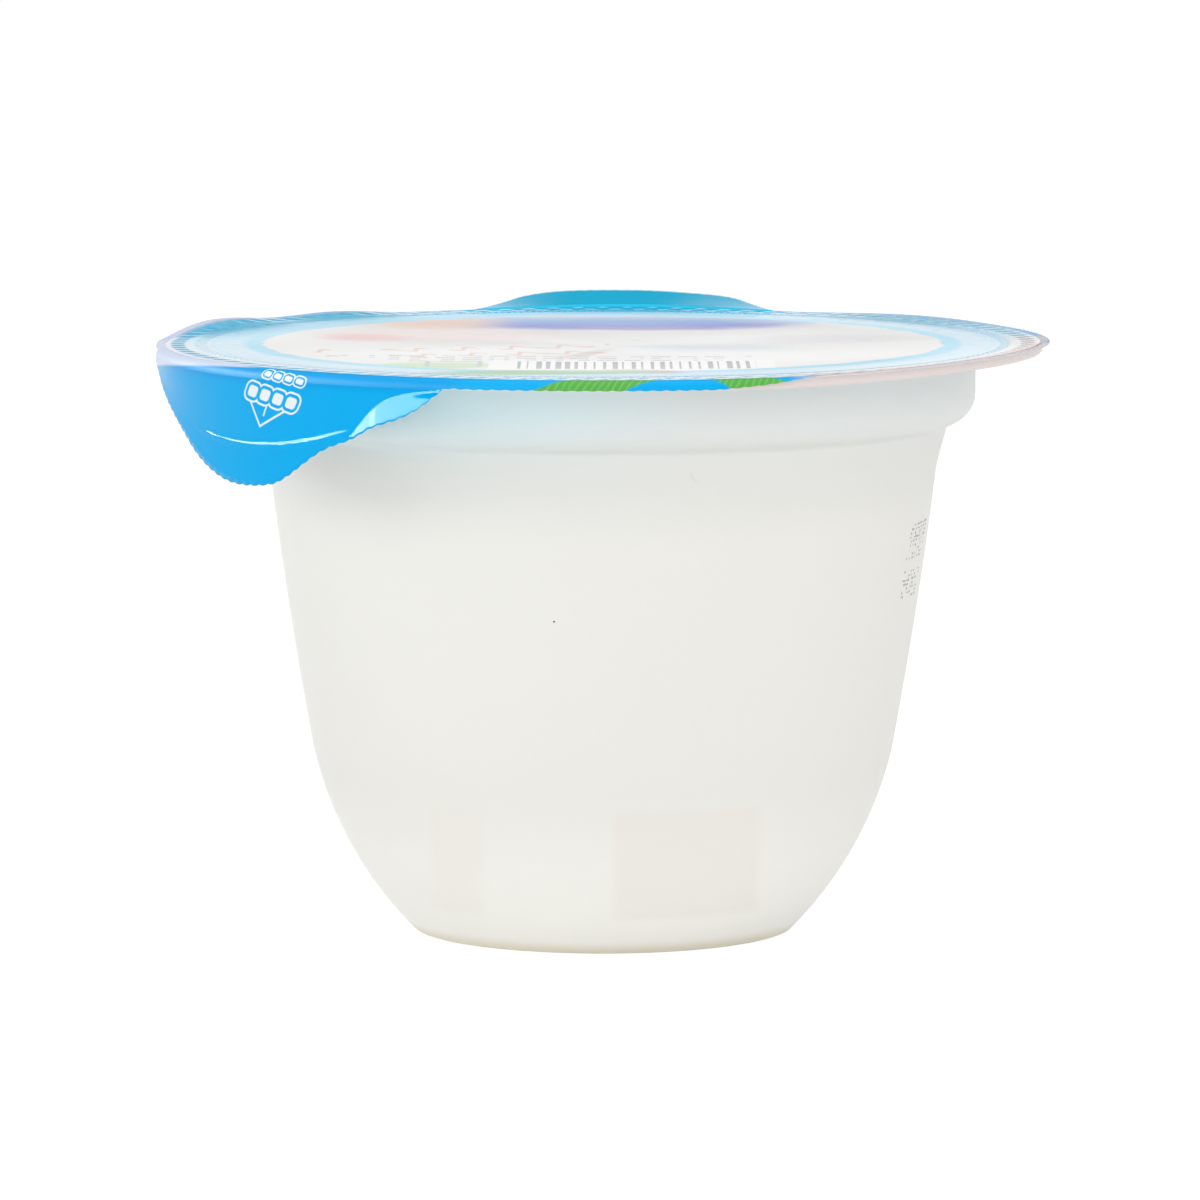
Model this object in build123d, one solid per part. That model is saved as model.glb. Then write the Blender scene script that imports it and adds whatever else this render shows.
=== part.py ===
from build123d import *
from math import asin, atan2, cos, degrees, hypot, radians, sin, sqrt, tan
import os

# A sealed yogurt pot: a filled plastic cup, and the peel-off film that is welded to its rim.
# The origin is the centre of the ring that the cup stands on, +Z is up and -Y is the front.
# Angles round the pot are counted from the front, and they grow towards +X.
# A draft is the angle between the wall and the vertical. Lengths are millimetres.

# Cup
pot_height = 63.5           # standing ring to the flat top of the flange
rim_diameter = 95.0         # the standard 95 mm pot
rim_thickness = 1.0         # flange at its outer edge
rim_round = 0.4             # round under the flange's outer edge
flange_width = 7.2          # flange edge in to the neck
flange_root = 1.35          # flange where it meets the neck
neck_fillet = 0.6
shoulder_drop = 7.1         # flange top down to the stacking shoulder, at the neck
shoulder_width = 3.0        # neck in to the shoulder's inner corner
shoulder_fall = 1.4         # the shoulder's underside slopes down by this on its way in
shoulder_round = 3.2
shoulder_fillet = 0.6
flare_drop = 4.2            # height over which the wall flares out to meet the shoulder
flare_draft = 15.3
flare_blend = 10.0          # radius between the flare and the wall
wall_draft = 6.8            # just under the flare
wall_bow_radius = 490.0     # the wall bellies out a little between shoulder and knee
knee_height = 20.2          # where the wall starts to curl in
knee_radius = 24.4
knee_turn = 4.4
bowl_radius = 40.8
foot_round = 0.5
ring_width = 1.3            # flat of the standing ring
recess_depth = 1.0          # dish inside the standing ring
recess_draft = 45.0

# Film
film_thickness = 0.15
film_overhang = 0.8         # flat film past the flange's edge
fold_radius = 1.0           # outside of the fold where film turns down over the rim
tab_angle = -51.0           # middle of the peel tab
tab_half_width = 26.0       # half of its chord across the root
tab_drop = 12.9             # flange top to the tip of the hanging tab
tab_tip_radius = 20.0
lip_drop = 0.9              # overhang pressed down along the front, beside the tab
lip_level_end = 14.0        # where the lip starts to rise again
lip_end = 28.6              # where the overhang is flat again
back_tab_angle = 177.0
back_tab_rise = 5.5         # degrees above the film's plane
back_tab_length = 12.9
back_tab_root = 17.5        # half width where it leaves the rim
back_tab_top = 11.5         # half width at its outer edge
back_tab_round = 6.0

# Spare material that the cuts and joins use up
strip_lap = 1.0             # a flap's flat strip runs this far into the disc's edge
skirt_lap = 2.0             # degrees that the lip's skirt shares with the tab's
cut_spare = 2.0             # past the outline that cuts a flap to shape

# Worked out from the sizes above
rim_radius = rim_diameter / 2
neck_radius = rim_radius - flange_width
shoulder_height = pot_height - shoulder_drop
ledge_height = shoulder_height - shoulder_fall
wall_height = ledge_height - flare_drop
film_top = pot_height + film_thickness
skirt_radius = rim_radius + fold_radius


def curl(start, radius, draft, end_draft):
    """Arc that runs down the cup and curls in under it, from one draft to a steeper one."""
    def point(angle):
        inward = radius * (cos(radians(draft)) - cos(radians(angle)))
        down = radius * (sin(radians(angle)) - sin(radians(draft)))
        return (start[0] - inward, start[1] - down)
    return ThreePointArc(start, point((draft + end_draft) / 2), point(end_draft))


def draft_after(radius, draft, drop):
    """Draft at the end of a curl that goes down by this drop."""
    return degrees(asin(sin(radians(draft)) + drop / radius))


def ends(edge):
    """First and last point of an edge in the profile's own plane, as (radius, height)."""
    return [(p.X, p.Y) for p in (edge @ 0, edge @ 1)]


def corner(shape, point):
    return shape.vertices().sort_by_distance(Vector(*point))[0]


def cup_profile():
    """Half section of the filled cup, with radius as X and height as Y."""
    ledge = (neck_radius - shoulder_width, ledge_height)
    wall_start = (ledge[0] - flare_drop * tan(radians(flare_draft)), wall_height)
    wall_end_draft = draft_after(wall_bow_radius, wall_draft, wall_height - knee_height)
    wall = curl(wall_start, wall_bow_radius, wall_draft, wall_end_draft)
    bowl_draft = wall_end_draft + knee_turn
    knee = curl(ends(wall)[1], knee_radius, wall_end_draft, bowl_draft)
    bowl_start = ends(knee)[1]
    foot_draft = draft_after(bowl_radius, bowl_draft, bowl_start[1])
    bowl = curl(bowl_start, bowl_radius, bowl_draft, foot_draft)
    foot = ends(bowl)[1]
    ring_outer = foot[0] - foot_round * tan(radians(90 - foot_draft) / 2)
    ring_inner = ring_outer - ring_width
    dish_edge = ring_inner - recess_depth * tan(radians(recess_draft))
    underside = Polyline(foot, (ring_inner, 0), (dish_edge, recess_depth), (0, recess_depth))
    flange_under = (neck_radius, pot_height - flange_root)
    rim_lower = (rim_radius, pot_height - rim_thickness)
    shoulder = (neck_radius, shoulder_height)
    top = Polyline(
        (0, recess_depth),
        (0, pot_height),
        (rim_radius, pot_height),
        rim_lower,
        flange_under,
        shoulder,
        ledge,
        wall_start,
    )
    profile = make_face([wall, knee, bowl, underside, top])
    for point, radius in (
        (foot, foot_round),
        (wall_start, flare_blend),
        (ledge, shoulder_fillet),
        (shoulder, shoulder_round),
        (flange_under, neck_fillet),
        (rim_lower, rim_round),
    ):
        profile = fillet(corner(profile, point), radius)
    print("foot radius", round(foot[0], 2), "draft at the foot", round(foot_draft, 1))
    return profile


def make_cup():
    return revolve(Plane.XZ * cup_profile(), Axis.Z)


def sector(profile, start, end):
    """Turn a half section round the pot, from one angle to another."""
    upright = Plane.XZ * profile
    return revolve(Rot(0, 0, start - 90) * upright, Axis.Z, end - start)


def facing(angle):
    """Upright plane that looks outwards at this angle, with its zero at the flange's top."""
    outward = (sin(radians(angle)), -cos(radians(angle)), 0)
    sideways = (cos(radians(angle)), sin(radians(angle)), 0)
    return Plane(origin=(0, 0, pot_height), x_dir=sideways, z_dir=outward)


def strip(*points):
    """Section of a strip of film from just inside the rim: its underside's points, then its top's."""
    inner = rim_radius - strip_lap
    return make_face(Polyline((inner, pot_height), *points, (inner, film_top), close=True))


def disc():
    return Pos(0, 0, pot_height) * extrude(Circle(rim_radius), film_thickness)


def brim(start, end):
    """Film that carries on flat past the rim."""
    edge = rim_radius + film_overhang
    return sector(strip((edge, pot_height), (edge, film_top)), start, end)


def skirt_section():
    """Film folded down over the rim and hanging beside it."""
    fold_height = film_top - fold_radius

    def fold(radius):
        half_way = radius * cos(radians(45))
        return ThreePointArc(
            (rim_radius, fold_height + radius),
            (rim_radius + half_way, fold_height + half_way),
            (rim_radius + radius, fold_height),
        )
    skirt_inner = skirt_radius - film_thickness
    bottom = pot_height - tab_drop - cut_spare
    hem = Polyline(
        (skirt_inner, fold_height),
        (skirt_inner, bottom),
        (skirt_radius, bottom),
        (skirt_radius, fold_height),
    )
    inner = rim_radius - strip_lap
    root = Polyline(
        (rim_radius, film_top),
        (inner, film_top),
        (inner, pot_height),
        (rim_radius, pot_height),
    )
    return make_face([fold(fold_radius - film_thickness), hem, fold(fold_radius), root])


def tab_outline():
    """Front view of the peel tab: straight sides that run tangent into a round tip."""
    centre = tab_tip_radius - tab_drop
    lean = asin(tab_tip_radius / hypot(tab_half_width, centre)) - atan2(centre, tab_half_width)
    apex = (0, -tab_half_width * tan(lean))
    outline = make_face(Polyline(
        (-tab_half_width, cut_spare),
        (-tab_half_width, 0),
        apex,
        (tab_half_width, 0),
        (tab_half_width, cut_spare),
        close=True,
    ))
    return fillet(corner(outline, apex), tab_tip_radius)


def lip_outline(start):
    """Front view of the pressed-down overhang, which rises to nothing at its far end."""
    x_start = rim_radius * sin(radians(start))
    x_level = rim_radius * sin(radians(lip_level_end))
    x_end = rim_radius * sin(radians(lip_end))
    return make_face(Polyline(
        (x_start, cut_spare),
        (x_start, -lip_drop),
        (x_level, -lip_drop),
        (x_end, film_thickness / 2),
        (x_end, cut_spare),
        close=True,
    ))


def front_skirt(tab_start, tab_end):
    """Peel tab and lip: one folded skirt, cut to the outlines of both."""
    reach = skirt_radius + cut_spare
    lip_start = tab_end - skirt_lap
    tab = sector(skirt_section(), tab_start, tab_end)
    tab &= extrude(facing(tab_angle) * tab_outline(), reach)
    lip = sector(skirt_section(), lip_start, lip_end)
    lip &= extrude(facing(0) * lip_outline(lip_start), reach)
    return tab + lip


def back_tab_plan(reach):
    """Outline of the back tab from above, with +Y as the way it points."""
    root_y = sqrt(rim_radius**2 - back_tab_root**2)
    corners = [(-back_tab_top, reach), (back_tab_top, reach)]
    plan = make_face(Polyline(
        (-back_tab_root, root_y),
        *corners,
        (back_tab_root, root_y),
        (0, root_y - back_tab_root),
        close=True,
    ))
    for point in corners:
        plan = fillet(corner(plan, point), back_tab_round)
    return plan


def back_tab(half_angle):
    """Second tab, turned up a little from the rim."""
    edge = rim_radius + back_tab_length * cos(radians(back_tab_rise))
    outer = edge + cut_spare
    rise = (outer - rim_radius) * tan(radians(back_tab_rise))
    section = strip(
        (rim_radius, pot_height),
        (outer, pot_height + rise),
        (outer, film_top + rise),
        (rim_radius, film_top),
    )
    flap = sector(section, back_tab_angle - half_angle, back_tab_angle + half_angle)
    plan = Rot(0, 0, back_tab_angle - 180) * back_tab_plan(edge)
    return flap & extrude(plan, 2 * pot_height)


def make_lid():
    tab_half_angle = degrees(asin(tab_half_width / skirt_radius))
    tab_start = tab_angle - tab_half_angle
    tab_end = tab_angle + tab_half_angle
    back_half_angle = degrees(asin(back_tab_root / rim_radius))
    film = disc() + front_skirt(tab_start, tab_end) + back_tab(back_half_angle)
    film += brim(lip_end, back_tab_angle - back_half_angle)
    film += brim(back_tab_angle + back_half_angle, 360 + tab_start)
    return film


os.makedirs("parts", exist_ok=True)
cup = make_cup()
lid = make_lid()
for name, solid in (("cup", cup), ("lid", lid)):
    export_step(solid, f"parts/{name}.step")
    print(name, "volume", round(solid.volume / 1000, 2), "ml")
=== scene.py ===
# %% [markdown]
# # A sealed yogurt pot
# The pot is a thin cup of milky plastic with a flange round its mouth. A printed film is welded
# to the flange, and a tab of the same film hangs down at the front left for peeling it off.
# The CAD model holds both as plain solids, so it gives the sizes. Here each is made again as a
# fine surface, because the look of such a pack lies in its film: print, creases and a welded
# seam that are far too thin for the CAD model.

# %% Load the frame
import math

import bpy
import numpy as np
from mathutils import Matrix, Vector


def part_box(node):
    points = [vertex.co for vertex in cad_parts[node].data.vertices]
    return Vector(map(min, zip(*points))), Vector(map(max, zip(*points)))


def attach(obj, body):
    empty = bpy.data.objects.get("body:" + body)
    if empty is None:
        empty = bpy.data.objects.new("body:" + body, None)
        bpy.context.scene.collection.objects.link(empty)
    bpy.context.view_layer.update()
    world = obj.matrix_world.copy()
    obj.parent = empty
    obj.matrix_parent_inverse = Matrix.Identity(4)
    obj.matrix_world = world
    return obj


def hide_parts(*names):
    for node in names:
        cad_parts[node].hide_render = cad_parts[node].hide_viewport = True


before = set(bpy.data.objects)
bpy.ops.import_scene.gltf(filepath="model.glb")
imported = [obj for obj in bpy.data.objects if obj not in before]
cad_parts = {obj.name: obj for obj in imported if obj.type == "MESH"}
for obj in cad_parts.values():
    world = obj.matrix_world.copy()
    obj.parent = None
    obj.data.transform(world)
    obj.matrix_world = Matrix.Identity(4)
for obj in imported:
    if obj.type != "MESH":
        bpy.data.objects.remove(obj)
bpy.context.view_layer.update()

cup_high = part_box("cup")[1]

# %% [markdown]
# ## Sizes
# The overall sizes are read from the frame. The rest repeat the CAD model's own values, because
# a box can't tell them. Everything is worked out in millimetres and turned into metres once,
# where a mesh is made. Angles round the pot are counted from the front and grow towards +X.

# %% Sizes of the cup
MM = 0.001
rim_radius = round(cup_high.x / MM, 1)
pot_height = round(cup_high.z / MM, 1)
flange_width = 7.2
neck_radius = rim_radius - flange_width
rim_thickness = 1.0
flange_root = 1.35
shoulder_height = pot_height - 7.1
shoulder_width = 3.0
ledge_height = shoulder_height - 1.4
flare_drop = 4.2
flare_draft = 15.3
wall_height = ledge_height - flare_drop
wall_draft = 6.8
wall_bow_radius = 490.0
knee_height = 20.2
knee_radius = 24.4
knee_turn = 4.4
bowl_radius = 40.8
ring_width = 1.3
recess_depth = 1.0
edge_round = 0.08       # the flange's upper edge
rim_round = 0.4         # its lower edge
neck_fillet = 0.6
shoulder_round = 3.2
ledge_fillet = 0.6
flare_blend = 10.0
foot_round = 0.5
headroom = 0.4          # the cup's middle, which the film hides, lies this far below the flange
print("rim radius", rim_radius, "height", pot_height)

# %% Sizes of the film
film_thickness = 0.15
film_overhang = 0.8
fold_radius = 1.0
film_top = pot_height + film_thickness
skirt_radius = rim_radius + fold_radius
tab_angle = -51.0
tab_half_width = 26.0
tab_drop = 12.9
tab_tip_radius = 20.0
lip_drop = 0.9
lip_level_end = 14.0
lip_end = 28.6
back_tab_angle = 177.0
back_tab_rise = 5.5
back_tab_length = 12.9
back_tab_root = 17.5
back_tab_top = 11.5
back_tab_round = 6.0
print("film reaches", skirt_radius, "mm at the fold, tab hangs", tab_drop, "mm")

# %% [markdown]
# ## Camera
# A long lens far away keeps the pot's sides nearly parallel. It looks down on the lid by a few
# degrees only, so the round lid shows as a thin ellipse. The camera comes first, because each
# later piece is judged through it.

# %% Camera
camera_offset = -0.32
camera_distance = 876.0
camera_height = 135.2
camera_pitch = 6.485
camera_lens = 243.5

camera_data = bpy.data.cameras.new("camera")
camera_data.lens = camera_lens
camera_data.sensor_width = 36.0
camera_data.clip_start = 0.01
camera_data.clip_end = 100.0
camera = bpy.data.objects.new("camera", camera_data)
camera.location = (camera_offset * MM, -camera_distance * MM, camera_height * MM)
camera.rotation_euler = (math.radians(90 - camera_pitch), 0, 0)
bpy.context.scene.collection.objects.link(camera)
bpy.context.scene.camera = camera
bpy.context.scene.view_settings.view_transform = "Standard"
print("camera", camera_distance, "mm away, looking down", camera_pitch, "degrees")

# %% [markdown]
# ## Curves in a plane
# Both pieces start from an outline. A moulded corner is never sharp, so outlines are a few
# corners, each with a radius. Points are complex numbers: a turn is then one multiplication,
# and a whole arc is one expression.


# %% Outline helpers
def rounded(corners, radii, steps=7, rest=0.12):
    """Path through corners, with an arc in place of each corner that has a radius.

    The arc starts radius * tan(turn / 2) before the corner and turns about a centre that lies
    one radius to the side. A point a little before and after it keeps the flats flat.
    """
    path = [corners[:1]]
    for before, corner, after, radius in zip(corners, corners[1:], corners[2:], radii):
        if radius == 0:
            path.append([corner])
            continue
        way_in = (corner - before) / abs(corner - before)
        way_out = (after - corner) / abs(after - corner)
        turn = np.angle(way_out / way_in)
        start = corner - way_in * radius * np.tan(abs(turn) / 2)
        centre = start + 1j * np.sign(turn) * way_in * radius
        arc = centre + (start - centre) * np.exp(1j * turn * np.linspace(0, 1, steps))
        path.extend([[start - way_in * rest], arc, [arc[-1] + way_out * rest]])
    path.append(corners[-1:])
    return np.concatenate([np.asarray(part, complex) for part in path])


def curl(start, radius, draft, end_draft, steps):
    """Arc down the wall. At a draft d it has moved in by radius * (cos(start draft) - cos d)
    and down by radius * (sin d - sin(start draft))."""
    first = math.radians(draft)
    now = np.radians(np.linspace(draft, end_draft, steps))
    inward = radius * (math.cos(first) - np.cos(now))
    down = radius * (np.sin(now) - math.sin(first))
    return start - inward - 1j * down


def draft_after(radius, draft, drop):
    """Draft at the end of a curl that goes down by this drop."""
    return math.degrees(math.asin(math.sin(math.radians(draft)) + drop / radius))


# %% Half section of the cup
def cup_section():
    """Radius + 1j * height, from the middle of the mouth over the rim and down to the base."""
    ledge = neck_radius - shoulder_width + 1j * ledge_height
    wall_top = ledge - flare_drop * math.tan(math.radians(flare_draft)) - 1j * flare_drop
    wall_end = draft_after(wall_bow_radius, wall_draft, wall_height - knee_height)
    wall = curl(wall_top, wall_bow_radius, wall_draft, wall_end, 46)
    knee = curl(wall[-1], knee_radius, wall_end, wall_end + knee_turn, 5)
    foot_draft = draft_after(bowl_radius, wall_end + knee_turn, knee[-1].imag)
    bowl = curl(knee[-1], bowl_radius, wall_end + knee_turn, foot_draft, 32)
    foot = bowl[-1].real
    ring_inner = foot - foot_round * math.tan(math.radians(90 - foot_draft) / 2) - ring_width
    flank = np.concatenate([wall[wall.imag < wall_height - 1.2], knee[1:], bowl[1:-1]])
    welded = np.linspace(neck_radius, rim_radius - 1.0, 8)
    shaped = [
        (1j * (pot_height - headroom), 0),
        (neck_radius - 1.0 + 1j * (pot_height - headroom), 0),
        *[(radius + 1j * pot_height, 0) for radius in welded],
        (rim_radius + 1j * pot_height, edge_round),
        (rim_radius + 1j * (pot_height - rim_thickness), rim_round),
        (neck_radius + 1j * (pot_height - flange_root), neck_fillet),
        (neck_radius + 1j * shoulder_height, shoulder_round),
        (ledge, ledge_fillet),
        (wall_top, flare_blend),
        *[(point, 0) for point in flank],
        (foot, foot_round),
        (ring_inner + 0j, 0.1),
        (ring_inner - recess_depth + 1j * recess_depth, 0.3),
        (1j * recess_depth, 0),
    ]
    corners = np.array([corner for corner, _ in shaped], complex)
    return rounded(corners, [radius for _, radius in shaped[1:-1]])


section = cup_section()
print("cup section", len(section), "points, widest", section.real.max())

# %% [markdown]
# ## From a grid to a closed skin
# A pot and its film are both a ring of points carried from a middle at the top to a middle at
# the bottom. One helper turns such a stack of rings into a closed mesh: quads between the
# rings, and a fan at each middle. Going outwards or down while the angle grows keeps every
# face pointing outwards.


# %% Mesh helpers
def directions(angles):
    """Unit vectors level with the ground, at angles in degrees from the front towards +X."""
    turn = np.radians(angles)
    return np.stack([np.sin(turn), -np.cos(turn)], -1)


def enclosed_volume(points, quads, fans):
    """Sum of the signed volumes of the tetrahedra from the origin to each triangle."""
    triangles = np.concatenate([quads[:, [0, 1, 2]], quads[:, [0, 2, 3]], fans])
    a, b, c = (points[triangles[:, k]] for k in range(3))
    return np.einsum("ij,ij->i", a, np.cross(b, c)).sum() / 6


def make_mesh(name, points, quads, fans):
    """Mesh object in metres from points in millimetres, shaded smooth."""
    mesh = bpy.data.meshes.new(name)
    mesh.from_pydata((points * MM).tolist(), [], quads.tolist() + fans.tolist())
    mesh.polygons.foreach_set("use_smooth", np.ones(len(mesh.polygons), bool))
    mesh.update()
    made = bpy.data.objects.new(name, mesh)
    bpy.context.scene.collection.objects.link(made)
    triangles = 2 * len(quads) + len(fans)
    print(name, triangles, "triangles,", round(enclosed_volume(points, quads, fans) / 1000, 2), "ml")
    return made


def closed_skin(name, rings, first, last):
    """Closed mesh from rings[row, column, xyz] and the two middles that cap it."""
    rows, columns, _ = rings.shape
    index = np.arange(rows * columns).reshape(rows, columns)
    after = np.roll(index, -1, 1)
    quads = np.stack([index[:-1], index[1:], after[1:], after[:-1]], -1).reshape(-1, 4)
    middle = rows * columns
    top = np.stack([np.full(columns, middle), index[0], after[0]], -1)
    bottom = np.stack([index[-1], np.full(columns, middle + 1), after[-1]], -1)
    points = np.concatenate([rings.reshape(-1, 3), [first, last]])
    return make_mesh(name, points, quads, np.concatenate([top, bottom]))


# %% [markdown]
# ## The rim's wave
# A thin flange is pulled about by its hot welded film, so a real rim isn't quite flat. The lift
# is a sum of a few smooth bumps round the rim. Cup and film use the same function, so they stay
# together.

# %% Rim wave
RIM_BUMPS = (
    # middle of the bump, reach to each side, lift
    (62, 44, 0.50),
    (105, 50, 0.30),
    (134, 22, 0.28),
    (177, 26, 0.30),
    (-117, 20, 0.85),
    (-140, 14, 0.50),
)


def bump(away, reach):
    """1 at the middle and 0 at the reach: half of 1 + cosine."""
    return (1 + np.cos(np.pi * np.minimum(np.abs(away) / reach, 1))) / 2


def ease(low, high, value):
    """0 below low, 1 above high and 3s^2 - 2s^3 between."""
    share = np.clip((value - low) / (high - low), 0, 1)
    return share * share * (3 - 2 * share)


def angle_apart(angle, centre):
    return (angle - centre + 180) % 360 - 180


def rim_lift(angle, radius):
    """Sum of the bumps, faded in from the neck, and steepest at the rim."""
    lift = sum(height * bump(angle_apart(angle, centre), reach) for centre, reach, height in RIM_BUMPS)
    share = np.clip((radius - neck_radius) / (rim_radius - neck_radius), 0, 1)
    return lift * share**1.8


print("largest lift", round(rim_lift(np.arange(360.0), rim_radius).max(), 2), "mm")

# %% [markdown]
# ## The cup
# The cup is deep-drawn, so it is a surface of revolution: its half section turned about the
# axis. Spin would do, but a grid lets the flange take the rim's wave in the same step.

# %% Make the cup
CUP_COLUMNS = 288

cup_angles = np.arange(CUP_COLUMNS) * 360 / CUP_COLUMNS
cup_radius, cup_angle = np.meshgrid(section.real[1:-1], cup_angles, indexing="ij")
cup_z = section.imag[1:-1, None] + rim_lift(cup_angle, cup_radius)
cup_rings = np.concatenate([cup_radius[..., None] * directions(cup_angle), cup_z[..., None]], -1)
pot_body = closed_skin("pot_body", cup_rings, (0, 0, pot_height - headroom), (0, 0, recess_depth))
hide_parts("cup")
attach(pot_body, "root")

# %% [markdown]
# ## The film
# The film is one flat blank with a fine scalloped edge. It lies on the flange, and what sticks
# out past the rim is folded: the front tab and lip hang down, the back tab stands up a little
# and the rest stays level. So the film is made as a real one is. First comes the blank's edge,
# as a length past the rim for each angle. Then one fold function takes any point of the blank,
# on the top face or the underside, to its place.


# %% Length of film past the rim
def length_for(drop):
    """Film needed to hang this far below the flange: the fold's arc, then a straight run."""
    below = drop + film_thickness
    in_fold = fold_radius * np.arccos(1 - np.clip(below / fold_radius, 0, 1))
    return np.where(below < fold_radius, in_fold, below + fold_radius * (math.pi / 2 - 1))


HEM_CHANGES = (
    # middle, reach to each side, how much higher the tab's cut edge lies
    (-64, 13, 0.9),
    (-52, 16, 0.65),
    (-38, 7.5, 1.15),
    (-23.8, 7, -1.05),
)


def tab_hem(angle):
    """Drop of the tab's edge: a round tip, straight sides tangent to it, and a few changes."""
    across = np.abs(skirt_radius * np.sin(np.radians(angle_apart(angle, tab_angle))))
    centre = tab_tip_radius - tab_drop
    lean = math.asin(tab_tip_radius / math.hypot(tab_half_width, centre))
    lean -= math.atan2(centre, tab_half_width)
    tip = np.sqrt(np.maximum(tab_tip_radius**2 - across**2, 0)) - centre
    past_tip = across - tab_tip_radius * math.sin(lean)
    side = tab_tip_radius * math.cos(lean) - centre - past_tip * math.tan(lean)
    hem = np.where(past_tip < 0, tip, side)
    for middle, reach, raised in HEM_CHANGES:
        hem = hem - raised * bump(angle_apart(angle, middle), reach)
    return np.where(np.abs(angle_apart(angle, tab_angle)) < 60, np.maximum(hem, 0), 0)


def lip_hem(angle):
    """Drop of the pressed-down lip: level along the front, then rising to nothing."""
    near = angle_apart(angle, 0)
    return lip_drop * np.clip((near > tab_angle) * (lip_end - near) / (lip_end - lip_level_end), 0, 1)


dome_rise = 4.2  # the flap arches over its width, so its middle stands highest
right_droop = 0.3  # share of the rise that its right half lacks


def back_tab_reach(angle):
    """Length past the rim of the back tab, read off its outline by direction."""
    edge = rim_radius + back_tab_length * math.cos(math.radians(back_tab_rise))
    root = math.sqrt(rim_radius**2 - back_tab_root**2)
    side = complex(root, back_tab_root)
    corner = complex(edge, back_tab_top)
    outline = rounded(
        np.array([side.conjugate(), corner.conjugate(), corner, side]),
        [back_tab_round, back_tab_round],
        steps=24,
    )
    t = np.linspace(0, len(outline) - 1, 900)
    fine = np.interp(t, np.arange(len(outline)), outline.real)
    fine = fine + 1j * np.interp(t, np.arange(len(outline)), outline.imag)
    bearing = angle_apart(angle, back_tab_angle)
    reach = np.interp(bearing, np.degrees(np.angle(fine)), np.abs(fine), left=0, right=0)
    return np.maximum(reach - rim_radius, 0)


def plain_edge(angle):
    """Length of film past the rim at each angle, before the scallops."""
    hanging = length_for(np.maximum(tab_hem(angle), lip_hem(angle)))
    return np.maximum(film_overhang, np.maximum(hanging, back_tab_reach(angle)))


def fold_angle(angle):
    """Degrees that the film turns down past the rim: 90 at the tab and lip, below 0 at the back."""
    near = angle_apart(angle, 0)
    down = 90 * ease(-88, -79, near) * (1 - ease(12, lip_end, near))
    from_middle = angle_apart(angle, back_tab_angle)
    up = dome_rise * (1 - ease(3, 23, np.abs(from_middle)))
    return down - up * (1 - right_droop * ease(0, 9, -from_middle))


# %% [markdown]
# ## Creases in the tab
# The hanging tab isn't a plain piece of cylinder. It has one sharp crease above its tip, below
# which it kicks outwards, a faint second bend near the rim, and an edge at its right that is
# curled out. Such bends are what catches the light on film, so each moves the surface itself.

# %% Shape of the hanging film
crease_height = 55.5
crease_bow = 0.0077
crease_middle = -50.0
crease_ridge = 0.095
crease_width = 0.27
tip_kick = 4.5
bend_height = 61.0
curl_kick = 14.5
curl_reach = 2.6
curl_middle = -26.5
second_height = 0.07    # the faint second bend
second_middle = -64


def soft_ramp(value, width):
    """0 below zero and a straight slope of 1 above, with a rounded knee of that width."""
    return width * np.logaddexp(0, value / width)


def push_out(angle, height, past):
    """Distance that creases move the hanging film outwards."""
    near = angle_apart(angle, 0)
    below = crease_height + crease_bow * (near - crease_middle) ** 2 - height
    kick = math.tan(math.radians(tip_kick)) * soft_ramp(below, 0.35)
    ridge = crease_ridge * np.exp(-((below / crease_width) ** 2)) * ease(-64, -58, near)
    fade = 1 - ease(-35, -31.5, near)
    second = second_height * np.exp(-(((height - bend_height) / 0.6) ** 2))
    second = second * bump(near - second_middle, 14)
    edge_in = plain_edge(angle) - past
    reach = curl_reach * np.sqrt(bump(near - curl_middle, 7))
    curled = math.tan(math.radians(curl_kick)) * soft_ramp(reach - edge_in, 0.05)
    curled = curled * (reach > 0)
    hangs = ease(1.3, 2.6, past) * (near < 0) * (np.abs(angle_apart(angle, tab_angle)) < 40)
    return hangs * ((kick + ridge) * fade + second + curled)


# %% [markdown]
# ## The welded seam
# A heated ring with a knurled band and a band of short ribs presses the film onto the flange.
# The prints it leaves are a few hundredths of a millimetre deep. They are part of the surface,
# because at a low angle they break up the gloss of the film.

# %% Relief of the seam
RIB_COUNT = 104
KNURL_COUNT = 190
RIBS = (45.2, 46.7)
KNURL = (42.9, 44.1)
rib_height = 0.03
knurl_height = 0.025
slack_height = 0.025
sag_depth = 0.3
sag_radius = 36.5
knurl_row = 0.6


def band(radius, low, high, soft=0.12):
    return ease(low - soft, low + soft, radius) * (1 - ease(high - soft, high + soft, radius))


def relief(angle, radius):
    """Ribs, knurl and the film's slack waves, as height above the flat."""
    turn = np.radians(angle)
    ribs = rib_height * band(radius, *RIBS) * np.cos(RIB_COUNT * turn)
    rows = np.sin(2 * np.pi * (radius - KNURL[0]) / knurl_row)
    knurl = knurl_height * band(radius, *KNURL) * np.cos(KNURL_COUNT * turn) * rows
    waves = np.sin(3 * turn + radius / 6) + np.sin(5 * turn - radius / 9 + 1)
    slack = slack_height * waves * ease(0, 20, radius) * (1 - ease(34, 42, radius))
    return ribs + knurl + slack


def sag(radius):
    """The middle hangs in a shallow bowl, as it does when the filled pot has cooled."""
    return -sag_depth * np.clip(1 - (radius / sag_radius) ** 2, 0, 1)


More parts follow.
